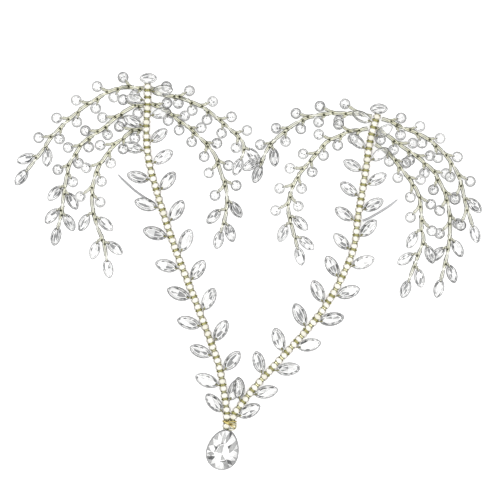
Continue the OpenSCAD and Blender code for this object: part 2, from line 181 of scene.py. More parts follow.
lens = bpy.data.cameras.new("camera")
lens.sensor_width, lens.lens = SENSOR, SENSOR * CAMERA_HEIGHT / PICTURE_WIDTH
lens.clip_end = 4 * FLOOR_HALF
camera = bpy.data.objects.new("camera", lens)
camera.location = (*PICTURE_MIDDLE, CAMERA_HEIGHT)
bpy.context.scene.collection.objects.link(camera)
bpy.context.scene.camera = camera
bpy.context.scene.view_settings.view_transform = "Standard"


# ----------------------------------------------------------------
# The two cup chains. Each cup is pressed from brass sheet with four claws, and the cups hang
# together by flat links. The chain is bought by the metre and plated in yellow gold.
# ----------------------------------------------------------------

CUP_D, CUP_H, CUP_PITCH, END_PITCH = 2.5, 2.0, 3.1, 3.9
CHAIN_LIFT = 0.5
RIM_Z = CHAIN_LIFT + CUP_H - 0.25
CUP_SIDES, CUP_SQUARE = 16, 3.5
# The pressed cup is longer and broader than the round one of the profile
CUP_LONG, CUP_BROAD = 1.1, 1.44
# Radius and height, from the cup's foot up its wall and over the rim
CUP_PROFILE = [(0.95, CHAIN_LIFT), (1.2, CHAIN_LIFT + 0.3), (1.23, CHAIN_LIFT + 0.6),
               (1.23, RIM_Z - 0.2), (1.12, RIM_Z + 0.05), (1.02, RIM_Z + 0.05), (0.8, RIM_Z - 0.5)]
CLAW_ANGLE, CLAW_SIDES = 34, 5
CLAW_PATH = [(1.15, 0, CHAIN_LIFT + 0.5), (1.36, 0, RIM_Z - 0.3), (1.32, 0, RIM_Z + 0.15),
             (1.02, 0, RIM_Z + 0.3)]
CLAW_RADII = [0.18, 0.22, 0.2, 0.1]
# Distance along the link and half its width there
LINK_SHAPE = [(-1.0, 1.1), (-0.3, 1.0), (0.3, 1.0), (1.0, 1.1)]
LINK_T = 0.3
METAL_BUMP, GOLD_PATCHES = 0.08, 6
GOLDS = (0.97, 0.95, 0.60, 1), (0.93, 0.90, 0.54, 1)
GOLD_GREYED, GOLD_SHADE = (0.80, 0.77, 0.76, 1), (0.07, 0.066, 0.02, 1)
# Strength of the painted shade on the chain's sides, and on the claws all over
CHAIN_DIM, CLAW_DIM = 0.85, 0.8
# A cup's wall turns grey from this far beside the chain's middle line, fully this much further
# out, and its painted shade is lighter there by this share
GREY_FROM, GREY_OVER, GREY_EASES = 0.7, 0.4, 0.6
LEFT_LINE = [[-32, 158.3], [-32, 148.5], [-32.5, 138], [-31.4, 125], [-27.7, 111], [-23.7, 98],
             [-18.1, 82], [-11.8, 66], [-5.8, 50], [-1.4, 37.5], [0.9, 25.5], [2, 17.5],
             [1.9, 11.3]]
RIGHT_LINE = [[67, 145.2], [64.9, 139], [63, 130], [61.9, 122], [60.2, 111.5], [58.4, 101],
              [57.1, 90], [53.8, 80], [47.4, 67.5], [40.2, 57], [31.3, 46.7], [21.7, 36.3],
              [13.8, 27.5], [8.2, 20.5], [4.9, 15.4], [4.6, 11.3]]


def smooth(knots, steps=16):
    """Curve through the knots. Between two of them each coordinate is the cubic that leaves a
    knot along the line between its two neighbours; the ends are continued straight."""
    knots = np.asarray(knots, float)
    p = np.vstack([2 * knots[0] - knots[1], knots, 2 * knots[-1] - knots[-2]])
    a, b, c, d = (p[i:len(p) - 3 + i, None] for i in range(4))
    t = np.arange(steps)[None, :, None] / steps
    curve = (2 * b + (c - a) * t + (2 * a - 5 * b + 4 * c - d) * t ** 2
             + (3 * b - a - 3 * c + d) * t ** 3) / 2
    return np.vstack([curve.reshape(-1, knots.shape[1]), knots[-1:]])


def distances(path):
    """How far along a path each of its points is: the running sum of the steps between them."""
    return np.append(0, np.cumsum(np.linalg.norm(np.diff(path, axis=0), axis=1)))


class Line:
    """A smooth curve on the surface, read by the distance along it in millimetres."""

    def __init__(self, knots):
        self.points = smooth(knots)
        self.along = distances(self.points)
        self.length = self.along[-1]

    def place(self, s, height=0.0):
        """The points at these distances, in between the curve's own points, and at a height."""
        x, y = (np.interp(s, self.along, self.points[:, k]) for k in (0, 1))
        return np.stack([x, y, np.broadcast_to(height, np.shape(s))], -1)

    def heading(self, s):
        """Angle of the chord from half a millimetre before each distance to as much after it."""
        chord = self.place(s + 0.5) - self.place(s - 0.5)
        return np.arctan2(chord[..., 1], chord[..., 0])


def unit(v):
    """Each vector divided by its length."""
    return v / np.linalg.norm(v, axis=-1, keepdims=True)


def skin(rings, closed=False):
    """Joins rings of points, each ring a row of the grid, with four-cornered faces. The two ends
    get a face each, unless the last ring is joined to the first."""
    count, sides = rings.shape[:2]
    at = np.arange(count * sides).reshape(count, sides)
    low, high = (at, np.roll(at, -1, 0)) if closed else (at[:-1], at[1:])
    quads = np.stack([low, np.roll(low, -1, 1), np.roll(high, -1, 1), high], -1).reshape(-1, 4)
    ends = [] if closed else [np.stack([at[0, ::-1], at[-1]])]
    return rings.reshape(-1, 3), [quads] + ends


def join(shapes):
    """One shape from several, whose faces keep their own points."""
    first = np.cumsum([0] + [len(points) for points, _ in shapes])
    return (np.concatenate([points for points, _ in shapes]),
            [f + start for start, (_, faces) in zip(first, shapes) for f in faces])


def set_out(shape, places, turns):
    """Copies of a shape, each turned about the upright axis and then moved to its place."""
    points, faces = shape
    c, s = np.cos(turns)[:, None], np.sin(turns)[:, None]
    turned = np.stack([c * points[:, 0] - s * points[:, 1], s * points[:, 0] + c * points[:, 1],
                       np.broadcast_to(points[:, 2], (len(turns), len(points)))], -1)
    starts = len(points) * np.arange(len(turns))[:, None, None]
    return ((turned + places[:, None]).reshape(-1, 3),
            [(f[None] + starts).reshape(-1, f.shape[1]) for f in faces])


def spun(profile, sides, turn=0.0):
    """Surface of revolution: each row of the profile, a radius and a height, becomes a ring."""
    angle = turn + 2 * np.pi * np.arange(sides) / sides
    profile = np.array(profile)
    return skin(np.stack([profile[:, :1] * np.cos(angle), profile[:, :1] * np.sin(angle),
                          profile[:, 1:] + 0 * angle], -1))


def squared(shape, power):
    """Rings moved outwards from circles to rounded squares: each point is divided by the sum of
    its cosine and sine raised to a power, and that to one over the power."""
    points, faces = shape
    round_share = np.abs(points[:, :2]) / np.linalg.norm(points[:, :2], axis=1, keepdims=True)
    grow = (round_share ** power).sum(1) ** (-1 / power)
    return points * np.column_stack([grow, grow, np.ones(len(grow))]), faces


def wire(path, radius, sides=6, square_to=(0, 0, 1), closed=False):
    """Wire round a path: at each point a ring of the radius, square to the path, whose first
    axis is also square to the given direction."""
    along = np.roll(path, -1, 0) - np.roll(path, 1, 0) if closed else np.gradient(path, axis=0)
    along = unit(along)
    side = unit(np.cross(np.broadcast_to(square_to, path.shape), along))
    up = np.cross(along, side)
    angle = 2 * np.pi * (np.arange(sides) + 0.5) / sides
    radius = np.broadcast_to(radius, len(path))[:, None, None]
    return skin(path[:, None] + radius * (np.cos(angle)[:, None] * side[:, None]
                                          + np.sin(angle)[:, None] * up[:, None]), closed)


def painted_side_shade(shape):
    """How much painted shade a metal surface gets at each point: none where it faces straight up
    or down, all where it faces sideways, by one less the square of the normal's height."""
    points, faces = shape
    normals = np.zeros_like(points)
    for f in faces:
        corners = points[f]
        across = np.cross(corners[:, 1] - corners[:, 0], corners[:, 2] - corners[:, 1])
        for k in range(f.shape[1]):
            np.add.at(normals, f[:, k], across)
    return 1 - unit(normals + 1e-12)[:, 2] ** 2


def add_piece(name, shape, nodes, slot, node=None, flat=False, **marks):
    """A finished piece of the headband from a shape in millimetres. Each mark is a value that the
    finish reads by its name, one for every face of a flat-faced piece or every point of a
    rounded one."""
    points, faces = shape
    thing = mesh_object(name, points * MM, faces, nodes)
    thing.data.polygons.foreach_set("use_smooth", np.full(len(thing.data.polygons), not flat))
    for mark, values in marks.items():
        layer = thing.data.attributes.new(mark, "FLOAT", "FACE" if flat else "POINT")
        layer.data.foreach_set("value", values)
    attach(thing, "root")
    if node:
        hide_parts(node)


def read_mark(nodes, name):
    """A piece's mark of this name, as a number that varies over the surface."""
    return nodes.term("ShaderNodeAttribute", {"attribute_name": name}, output=2)


def metal(name, grain_size, rough, bump_depth=0.0):
    """A metal finish with a fine grain. Its roughness runs with the grain from the first to the
    second number, and where a depth in millimetres is given, the grain also stands out by it."""
    nodes = finish(name, {"Metallic": 1.0})
    nodes.grain = grain(nodes, grain_size)
    nodes.put(nodes.shader, {"Roughness": rough[0] + (rough[1] - rough[0]) * nodes.grain})
    if bump_depth:
        bump = nodes.node("ShaderNodeBump", None, {
            "Strength": METAL_BUMP, "Distance": bump_depth * MM, "Height": nodes.grain})
        nodes.put(nodes.shader, {"Normal": bump.outputs[0]})
    return nodes


def cup_stations(line):
    """Distances of a chain's cups: evenly spaced, and the last one a longer step further."""
    run = line.length - END_PITCH - CUP_D / 2
    count = int(run / CUP_PITCH + 0.5) + 1
    return np.append(CUP_D / 2 + run * np.arange(count) / (count - 1), line.length)


gold = metal("yellow_gold_plate", 0.25, (0.16, 0.32), bump_depth=0.03)
lit_gold = gold.between(grain(gold, GOLD_PATCHES), *GOLDS)
lit_gold = gold.between(read_mark(gold, "greyed"), lit_gold, GOLD_GREYED)
# Painted shade: each piece's shade mark mixes the gold towards a dark olive
gold.put(gold.shader, {"Base Color": gold.between(read_mark(gold, "dim"), lit_gold, GOLD_SHADE)})

cup_wall = squared(spun(CUP_PROFILE, CUP_SIDES), CUP_SQUARE)
claw = wire(np.array(CLAW_PATH), np.array(CLAW_RADII), CLAW_SIDES, (0, 1, 0))
claw_turns = np.radians([CLAW_ANGLE, 180 - CLAW_ANGLE, 180 + CLAW_ANGLE, -CLAW_ANGLE])
cup_points, cup_faces = join([cup_wall, set_out(claw, np.zeros((4, 3)), claw_turns)])
cup = cup_points * [CUP_LONG, CUP_BROAD, 1], cup_faces
is_wall = np.arange(len(cup_points)) < len(cup_wall[0])
cup_dim = np.where(is_wall, 0, CLAW_DIM)
cup_grey = np.clip((np.abs(cup[0][:, 1]) - GREY_FROM) / GREY_OVER, 0, 1) * is_wall
link = skin(np.array([[(x, -half, 0), (x, half, 0), (x, half, LINK_T), (x, -half, LINK_T)]
                      for x, half in LINK_SHAPE]) + [0, 0, CHAIN_LIFT])

chain_lines = {"left": Line(LEFT_LINE), "right": Line(RIGHT_LINE)}
for side_name, line in chain_lines.items():
    at = cup_stations(line)
    gaps = (at[1:] + at[:-1]) / 2
    chain = join([set_out(cup, line.place(at), line.heading(at)),
                  set_out(link, line.place(gaps), line.heading(gaps))])
    greys, claws = (np.append(np.tile(mark, len(at)), np.zeros(len(gaps) * len(link[0])))
                    for mark in (cup_grey, cup_dim))
    # Painted shade: the chain darkens where it faces sideways, less on the greyed walls, and the
    # claws are darkened all over
    dims = np.maximum(CHAIN_DIM * painted_side_shade(chain) * (1 - GREY_EASES * greys), claws)
    add_piece(side_name + "_cup_chain", chain, gold, "gold_chain", side_name + "_chain",
              greyed=greys, dim=dims)


# ----------------------------------------------------------------
# The crystals of the chains. A small round stone sits in each cup, held by its claws. Each
# has an eight-sided table and a ring of crown facets; its foiled, pointed back is in the cup.
# ----------------------------------------------------------------

CRYSTAL_SIDES, CRYSTAL_BROAD = 8, 1.2
# Radius and height, from near the point at the back to the edge of the table
CRYSTAL_PROFILE = [(0.5, RIM_Z - 0.45), (1.1, RIM_Z), (1.07, RIM_Z + 0.08), (0.68, RIM_Z + 0.26)]
# The crystals' painted glow, and their colours from the darkest painted reflection to the lightest
CRYSTAL_PAINTED_GLOW = 0.12
FOIL_DARK, FOIL_BRIGHT = (0.40, 0.34, 0.15, 1), (0.98, 0.97, 0.88, 1)
DULL_CHANCE, DULL_TONE, BRIGHT_TONES = 0.15, 0.75, (0.9, 1)
GREY_CHANCE, GREY_TONE, EDGE_TONE = 0.2, 0.45, 0.6
CRYSTAL_SEED = 10


def crystal_tones(count, seed):
    """How light each facet of each crystal looks, painted into its colour in place of its
    reflections.
    A few crystals are duller as a whole and the rest vary a little; the narrow edge is greyer, and
    so is one in five crown facets."""
    rng = np.random.default_rng(seed)
    dull = rng.uniform(size=(count, 1)) < DULL_CHANCE
    whole = np.where(dull, DULL_TONE, rng.uniform(*BRIGHT_TONES, (count, 1)))
    crown = np.where(rng.uniform(size=(count, CRYSTAL_SIDES)) < GREY_CHANCE, GREY_TONE, 1.0)
    backs = np.ones((count, CRYSTAL_SIDES))
    sides = np.concatenate([backs, EDGE_TONE * backs, crown], 1) * whole
    return np.concatenate([sides.ravel(), np.repeat(whole, 2)])


# Painted light: the crystals glow faintly, and each facet's colour is its painted reflection, by
# its tone mark
foiled = finish("foil_backed_crystal", {"IOR": 1.55, "Roughness": 0.06,
                                        "Emission Color": (1, 0.98, 0.86, 1),
                                        "Emission Strength": CRYSTAL_PAINTED_GLOW})
foiled.put(foiled.shader, {
    "Base Color": foiled.between(read_mark(foiled, "tone"), FOIL_DARK, FOIL_BRIGHT)})

crystal_points, crystal_faces = spun(CRYSTAL_PROFILE, CRYSTAL_SIDES, np.pi / CRYSTAL_SIDES)
crystal = crystal_points * [1, CRYSTAL_BROAD, 1], crystal_faces
for number, (side_name, line) in enumerate(chain_lines.items()):
    at = cup_stations(line)
    add_piece(side_name + "_chain_crystals", set_out(crystal, line.place(at), line.heading(at)),
              foiled, "clear_stone", flat=True, tone=crystal_tones(len(at), CRYSTAL_SEED + number))


# ----------------------------------------------------------------
# The leaf stones. Cut glass in a slender pointed shape, with a crown of facets, a flat table
# and back, and a hole drilled near the lower point for the wire. They lean out in pairs along
# the chains, and one more lies across each top end.
# ----------------------------------------------------------------

LEAF_SLIM, LEAF_T, LEAF_LIFT, LEAF_GAP = 0.53, 1.9, 1.8, 2.05
# Stones are drawn this much larger all round than their solids
OVER = 0.22
POINTED, LEAF_CORNERS = 1.2, 24
BACK_WEDGES, CORE = 8, 0.4
# The rings and heights of the cut, as cut_stone tells
LEAF_CUT = {"table": 0.54, "star": 0.7, "edge": 0.81, "back": 0.97, "girdle": 0.14,
            "edge_rise": 0.25, "along": LEAF_SLIM}
SEAT = 0.15
TOP_SHIFT, TOP_LENGTH, POINT_W = (0.4, 0.2), 7.4, 4.2
# The glass's painted glow, and its colours from the darkest painted reflection to the clearest
GLASS_PAINTED_GLOW = 0.12
GLASS_DARK, GLASS_CLEAR = (0.004, 0.005, 0.006, 1), (0.985, 0.985, 0.98, 1)
# Painted reflections: how light marked facets may look, the outer back at the least, and how the
# rims vary
DARK_FACET, GREY_FACET = 0.0005, 0.05
OUTER_BACK, RIM_SPREAD = 0.6, (-0.5, 0.25)
# Painted tone of the rim, the darkest that an unmarked facet looks, and the chances of a painted
# mark
LEAF_RIM, CLEAR_LEAF, LEAF_CHANCE = 0.24, 0.34, np.array([0.4, 0.26])
ROW_SEEDS, END_SEED = 100, 500
# The topmost leaves are clearer: the chance grows to its full size at this one
PLAIN_LEAVES = 4
# One row for each leaf, top to bottom: distance down the chain, lean to it, length
LEFT_OUTER = [[7, 84, 7.6], [18, 66, 8.4], [28.5, 68, 8.8], [41, 60, 9.4], [53.5, 56, 9.8],
              [66.5, 54, 10.2], [81, 54, 9.8], [94.5, 47, 10], [107.5, 53, 10], [121, 48, 9.6],
              [134.5, 58, 10.4], [146, 38, 9.8]]
LEFT_INNER = [[3.5, 84, 8.8], [13.5, 72, 8.4], [25, 55, 8.4], [34.5, 69, 9.4], [46.5, 55, 9.4],
              [60.5, 50, 10], [74.5, 43, 10.2], [87.5, 55, 9.6], [101.5, 46, 10.2],
              [115.5, 51, 9.8], [128.5, 52, 10], [141.5, 34, 9.8]]
RIGHT_OUTER = [[9.5, 44, 8.2], [20, 48, 8.4], [30.5, 51, 8.8], [41.5, 53, 9.2], [53, 38, 9.4],
               [66, 47, 10], [80, 41, 10], [93, 41, 10.4], [107.5, 36, 10], [121, 41, 10.2],
               [135, 37, 10], [147, 34, 10.2]]
RIGHT_INNER = [[4, 82, 8.4], [15.5, 55, 8.4], [25, 70, 8.4], [36, 62, 8.8], [46.5, 63, 9],
               [59.5, 60, 8.8], [72.5, 55, 9.6], [85.5, 58, 10], [98.5, 65, 10.2],
               [113, 61, 10], [126, 57, 9.4], [140.5, 40, 9.2]]


def pointed_outline(length, width, corners):
    """An ellipse whose height across is raised to a power, so that its ends come to points."""
    a = 2 * np.pi * np.arange(corners) / corners
    across = np.sign(np.sin(a)) * np.abs(np.sin(a)) ** POINTED
    return np.column_stack([(length / 2 + OVER) * np.cos(a), (width / 2 + OVER) * across])


def cut_stone(outline, thick, table, star, edge, back, girdle, edge_rise, along=1.0):
    """A cut stone. Its rings are shares of the outline: the back, the widest line, the edge of
    the crown, the star points and the table. Along the stone each is drawn in less, by the last
    number. The widest line is at the girdle's share of the thickness, and the crown's edge at
    the rise's share of what is above. Star points stand on the even corners, at the height that
    keeps the kites flat, and the table's on the odd ones. Between them lie triangles, kites and
    stars. The flat back is cut in wedges round an inner ring."""
    n = len(outline) // 2
    even, odd, core = outline[0::2], outline[1::2], outline[::2 * n // BACK_WEDGES]
    low = girdle * thick
    edge_z = low + edge_rise * (thick - low)
    star_z = edge_z + (edge - star * np.cos(np.pi / n)) / (edge - table) * (thick - edge_z)
    levels = [(outline, back, 0), (outline, 1, low), (outline, edge, edge_z),
              (even, star, star_z), (odd, table, thick), (core, CORE, 0), (0 * core[:1], 1, 0)]
    points = np.vstack([np.column_stack([ring * (1 - (1 - share) * np.array([along, 1])),
                                         np.full(len(ring), z)]) for ring, share, z in levels])
    row = lambda *columns: np.stack(np.broadcast_arrays(*columns), -1)
    k, j, i = np.arange(2 * n), np.arange(n), np.arange(BACK_WEDGES)
    after = (k + 1) % (2 * n)
    widest, crown, stars, top, heart = 2 * n, 4 * n, 6 * n, 7 * n, 8 * n
    quads = np.vstack([row(k, after, widest + after, widest + k),
                       row(widest + k, widest + after, crown + after, crown + k),
                       row(crown + 2 * j + 1, stars + (j + 1) % n, top + j, stars + j)])
    triangles = np.vstack([row(crown + 2 * j, crown + 2 * j + 1, stars + j),
                           row(crown + (2 * j - 1) % (2 * n), crown + 2 * j, stars + j),
                           row(stars + j, top + j, top + (j - 1) % n),
                           row(heart + BACK_WEDGES, heart + (i + 1) % BACK_WEDGES, heart + i)])
    span = 2 * n // BACK_WEDGES
    wedges = row(*[(span * i + m) % (2 * n) for m in range(span, -1, -1)],
                 heart + i, heart + (i + 1) % BACK_WEDGES)
    return points, [quads, triangles, wedges, (top + j)[None]]


def facet_tones(shape, count, seed, chance, clear, rim_tone):
    """How light each facet of copies of a stone looks, from 0 to 1: painted reflections. A facet
    is dark or greyish by chance, with one chance in the lower half and another in the upper;
    otherwise it is clear.
    The sides and the table are always clear, and the outer back is at most faintly grey. The
    rim of the crown has one grey tone all round, which differs from stone to stone."""
    points, faces = shape
    rng = np.random.default_rng(seed)
    tones = []
    for f in faces:
        size = (count, len(f))
        chances = np.where(points[f][:, :, 0].mean(1) < 0, *chance)
        marked = np.exp(rng.uniform(np.log(DARK_FACET), np.log(GREY_FACET), size))
        tones.append(np.where(rng.uniform(size=size) < chances, marked,
                              rng.uniform(clear, 1, size)))
    quads, _, wedges, table = tones
    n = len(faces[-1][0])
    quads[:, :2 * n] = 1
    table[:] = 1
    wedges[:] = np.maximum(wedges, OUTER_BACK)
    quads[:, 2 * n:4 * n] = rim_tone * np.exp(rng.uniform(*RIM_SPREAD, (count, 1)))
    return np.concatenate([tone.ravel() for tone in tones])


def spoke(angle):
    """The level unit vector at an angle."""
    return np.stack([np.cos(angle), np.sin(angle), 0 * angle], -1)


def leaf_places(line, rows, side, last_rise):
    """Lower point, turn and length of each leaf: the point stands beside the chain, and from
    there the leaf leans back up the chain by its own angle. The last one may lie higher."""
    at, lean, length = np.array(rows).T
    heading = line.heading(at)
    lift = np.full(len(at), LEAF_LIFT)
    lift[-1] += last_rise
    foot = line.place(at, lift) + LEAF_GAP * spoke(heading + side * np.pi / 2)
    return foot, heading + side * (np.pi - np.radians(lean)), length


# Painted light: the glass glows faintly in its own colour, and each facet's colour is darkened by
# its painted reflection mark
glass = finish("clear_cut_glass", {"IOR": 1.55, "Transmission Weight": 0.95, "Roughness": 0.02,
                                   "Emission Strength": GLASS_PAINTED_GLOW})
facet = glass.between(read_mark(glass, "tone"), GLASS_DARK, GLASS_CLEAR)
glass.put(glass.shader, {"Base Color": facet, "Emission Color": facet})

# The side that the leaves stand on, and how much higher the last one lies
leaf_rows = {"left_outer": (LEFT_OUTER, -1, 0), "left_inner": (LEFT_INNER, 1, 0),
             "right_inner": (RIGHT_INNER, -1, LEAF_T + SEAT), "right_outer": (RIGHT_OUTER, 1, 0)}
for number, (row_name, placing) in enumerate(leaf_rows.items()):
    foot, turn, length = leaf_places(chain_lines[row_name.split("_")[0]], *placing)
    middle = foot + length[:, None] / 2 * spoke(turn)
    stones, tones = [], []
    for i, long in enumerate(length):
        leaf = cut_stone(pointed_outline(long, long * LEAF_SLIM, LEAF_CORNERS), LEAF_T, **LEAF_CUT)
        chance = LEAF_CHANCE * min(1, (i + 1) / PLAIN_LEAVES)
        stones.append(set_out(leaf, middle[i:i + 1], turn[i:i + 1]))
        tones.append(facet_tones(leaf, 1, ROW_SEEDS * number + i, chance, CLEAR_LEAF, LEAF_RIM))
    add_piece(row_name + "_leaf_stones", join(stones), glass, "clear_stone", row_name + "_leaves",
              flat=True, tone=np.concatenate(tones))

end_stone = cut_stone(pointed_outline(TOP_LENGTH, POINT_W, LEAF_CORNERS), LEAF_T, **LEAF_CUT)
for number, (side_name, line) in enumerate(chain_lines.items()):
    place = line.place(0.0, LEAF_LIFT) + [TOP_SHIFT[0], TOP_SHIFT[1] + POINT_W / 2, 0]
    tones = facet_tones(end_stone, 1, END_SEED + number, LEAF_CHANCE, CLEAR_LEAF, LEAF_RIM)
    add_piece(side_name + "_end_stone", set_out(end_stone, place[None], np.zeros(1)), glass,
              "clear_stone", side_name + "_top_stone", flat=True, tone=tones)


# ----------------------------------------------------------------
# The binding wires. One soft gold wire runs along the back of each chain, goes round it
# between two cups at every leaf and branch, and through the hole of each leaf stone.
# ----------------------------------------------------------------

BINDING_D = 0.38
RUN_Z, RUN_STEP = BINDING_D / 2 + 0.02, 1.5
WRAP_Z = CHAIN_LIFT + CUP_H * 0.7
WRAP_GAP, WRAP_SHIFT, TURN_STEPS = 0.1, 0.18, 28
LEFT_ROOTS = [2.5, 8.7, 19.2]
RIGHT_ROOTS = [1.5, 6.3, 12.4]
# How high the stones' solids are widest, as a share of their thickness: the wires meet them there
WIDEST = 0.36
LEAF_HOLE, LEAF_LOOP_TOP = 1.15, 0.72
SOFT_GOLD, SOFT_SHADE = (0.92, 0.88, 0.40, 1), (0.085, 0.078, 0.012, 1)
WARM_GOLD, WARM_SHADE = (0.94, 0.80, 0.32, 1), (0.11, 0.06, 0.006, 1)
# Strength of the painted shade on the wire's sides, and the least painted shade on the stone loops
BINDING_DIM, LOOP_DIM = 0.9, 0.7


def wrap_turn(half, low, high):
    """One turn of wire seen along the chain: a rounded square, its cosine and sine each raised
    to a half."""
    a = 2 * np.pi * np.arange(TURN_STEPS) / TURN_STEPS
    bulge = lambda v: np.sign(v) * np.abs(v) ** 0.5
    return np.column_stack([0 * a, half * bulge(np.cos(a)),
                            (low + high) / 2 + (high - low) / 2 * bulge(np.sin(a))])


def stone_loop(edge, way, hole, top, bottom, floor_z, radius):
    """Wire that holds a stone: from its edge over the front, down through the hole and back
    below. Each knot is a distance towards the stone's middle and a height over its edge."""
    over = top + BINDING_D / 2
    knots = [(-0.7, 0.0), (-0.1, 0.75 * over), (0.5 * hole, over), (0.95 * hole, top - 0.05),
             (1.05 * hole, (top + bottom) / 2), (0.95 * hole, bottom), (0.4 * hole, bottom - 0.1),
             (-0.7, -0.1)]
    path = np.array([edge + inward * way + [0, 0, up] for inward, up in knots])
    path[:, 2] = np.maximum(path[:, 2], floor_z)
    return wire(smooth(path, 4), radius, square_to=np.cross([0, 0, 1], way))


soft = metal("soft_gold_wire", 0.2, (0.14, 0.26))
warmth = read_mark(soft, "warm")
# Painted shade: the shade mark mixes the wire towards its near-black shade colour
soft.put(soft.shader, {"Base Color": soft.between(read_mark(soft, "dim"),
                                                  soft.between(warmth, SOFT_GOLD, WARM_GOLD),
                                                  soft.between(warmth, SOFT_SHADE, WARM_SHADE))})

for side_name, line in chain_lines.items():
    at = cup_stations(line)
    gaps = ((at[1:] + at[:-1]) / 2)[:-1]
    rows = [leaf_rows[side_name + "_outer"], leaf_rows[side_name + "_inner"]]
    roots = LEFT_ROOTS if side_name == "left" else RIGHT_ROOTS
    stations = np.concatenate([np.array(row[0])[:, 0] for row in rows] + [roots])
    wrapped = np.unique(gaps[np.abs(gaps[:, None] - stations).argmin(0)])
    run = np.linspace(wrapped[0], wrapped[-1], int((wrapped[-1] - wrapped[0]) / RUN_STEP))
    shapes = [wire(line.place(run, RUN_Z), BINDING_D / 2)]
    wrap = wire(wrap_turn(CUP_D / 2 + WRAP_GAP + BINDING_D / 2, RUN_Z, WRAP_Z), BINDING_D / 2,
                square_to=(1, 0, 0), closed=True)
    for shift in (-WRAP_SHIFT, WRAP_SHIFT):
        shapes.append(set_out(wrap, line.place(wrapped + shift), line.heading(wrapped)))
    plain = sum(len(points) for points, _ in shapes)
    for row in rows:
        foot, angle, _ = leaf_places(line, *row)
        for low_point, way in zip(foot, spoke(angle)):
            shapes.append(stone_loop(low_point + [0, 0, WIDEST * LEAF_T], way, LEAF_HOLE,
                                     (1 - WIDEST) * LEAF_T * LEAF_LOOP_TOP, -WIDEST * LEAF_T,
                                     BINDING_D / 2, BINDING_D / 2))
    binding = join(shapes)
    # Painted shade on the sides of the wire, deeper on the loops through the stones
    dims = BINDING_DIM * painted_side_shade(binding)
    dims[plain:] = np.maximum(dims[plain:], LOOP_DIM)
    add_piece(side_name + "_binding", binding, soft, "gold_chain", side_name + "_binding_wire",
              dim=dims)


# ----------------------------------------------------------------
# The branches. A pair of soft pale-gold wires is twisted along each branch; at each sprig a
# pair leaves it, twisted as well, passes through the hole of a stone and comes back.
# ----------------------------------------------------------------

# The twisted pairs are drawn wider than their solids, which have these diameters
SPINE_D, SPINE_SPREAD, SPINE_TAPER = 1.1, 1.68, 0.15
STEM_D, STEM_SHARES, STEM_SPREAD = 0.9, (0, 0.35, 0.7, 1), (2.3, 1.8, 1.4, 1.7)
STEM_STEP, STEM_START, STEM_LEAVES, STEM_BEND, STEM_HELD = 0.4, 1.2, 0.2, (0.45, 0.25), 0.35
ROOT_Z, RAISED_Z, CLIMB, FLOOR_GAP = 0.7, 4.4, 8.0, 0.05
SPINE_TWIST, STEM_TWIST = 14.0, 60.0
TWIST_STEPS, STRAND_SIDES, STRAND_REST = 38, 10, 0.42
ROUND_D, POINT_L, BEAD_T, BEAD_CORNERS = 4.4, 8.0, 1.55, 16
BEAD_CUT = {"table": 0.54, "star": 0.64, "edge": 0.74, "back": 0.96, "girdle": 0.22,
            "edge_rise": 0.33}
BEAD_RIM, CLEAR_BEAD, BEAD_CHANCE = 0.27, 0.3, np.array([0.18, 0.08])
BEAD_SEED, POINT_SEED = 700, 800
BEAD_HOLE, POINT_HOLE = 0.85, 1.2
BEAD_LOOP_TOP, BEAD_LOOP_RISE, BEAD_LOOP_FLOOR = 0.75, 0.1, 0.22
POINT_FOLLOW = 0.75
PALE_WARM, PALE_GREYED = (0.96, 0.95, 0.7, 1), (0.96, 0.96, 0.87, 1)
PALE_SHADE = (0.025, 0.026, 0.008, 1)
# The outer edges of a pair get painted shade, from this share of its half width, fully this much
# on
EDGE_FROM, EDGE_OVER, EDGE_DIM, PAIR_DIM = 0.47, 0.14, 0.96, 0.4
# The loops get no painted edge shade, as if all their points were this far outward
LOOP_OUTWARD = 0.3
# Painted shade: dark spots in the crotches of the sprigs and at the holes, and the warmer wire
# round them
CROTCH_ALONG, CROTCH_OUT = 0.9, 0.25
SPOT_SIZE, SPOT_DIM, WARM_SIZE = 0.38, 2, 1.5
GREY_LEVEL, GREY_GROWTH, SPOT_WARMTH = 0.8, 0.4, 0.8

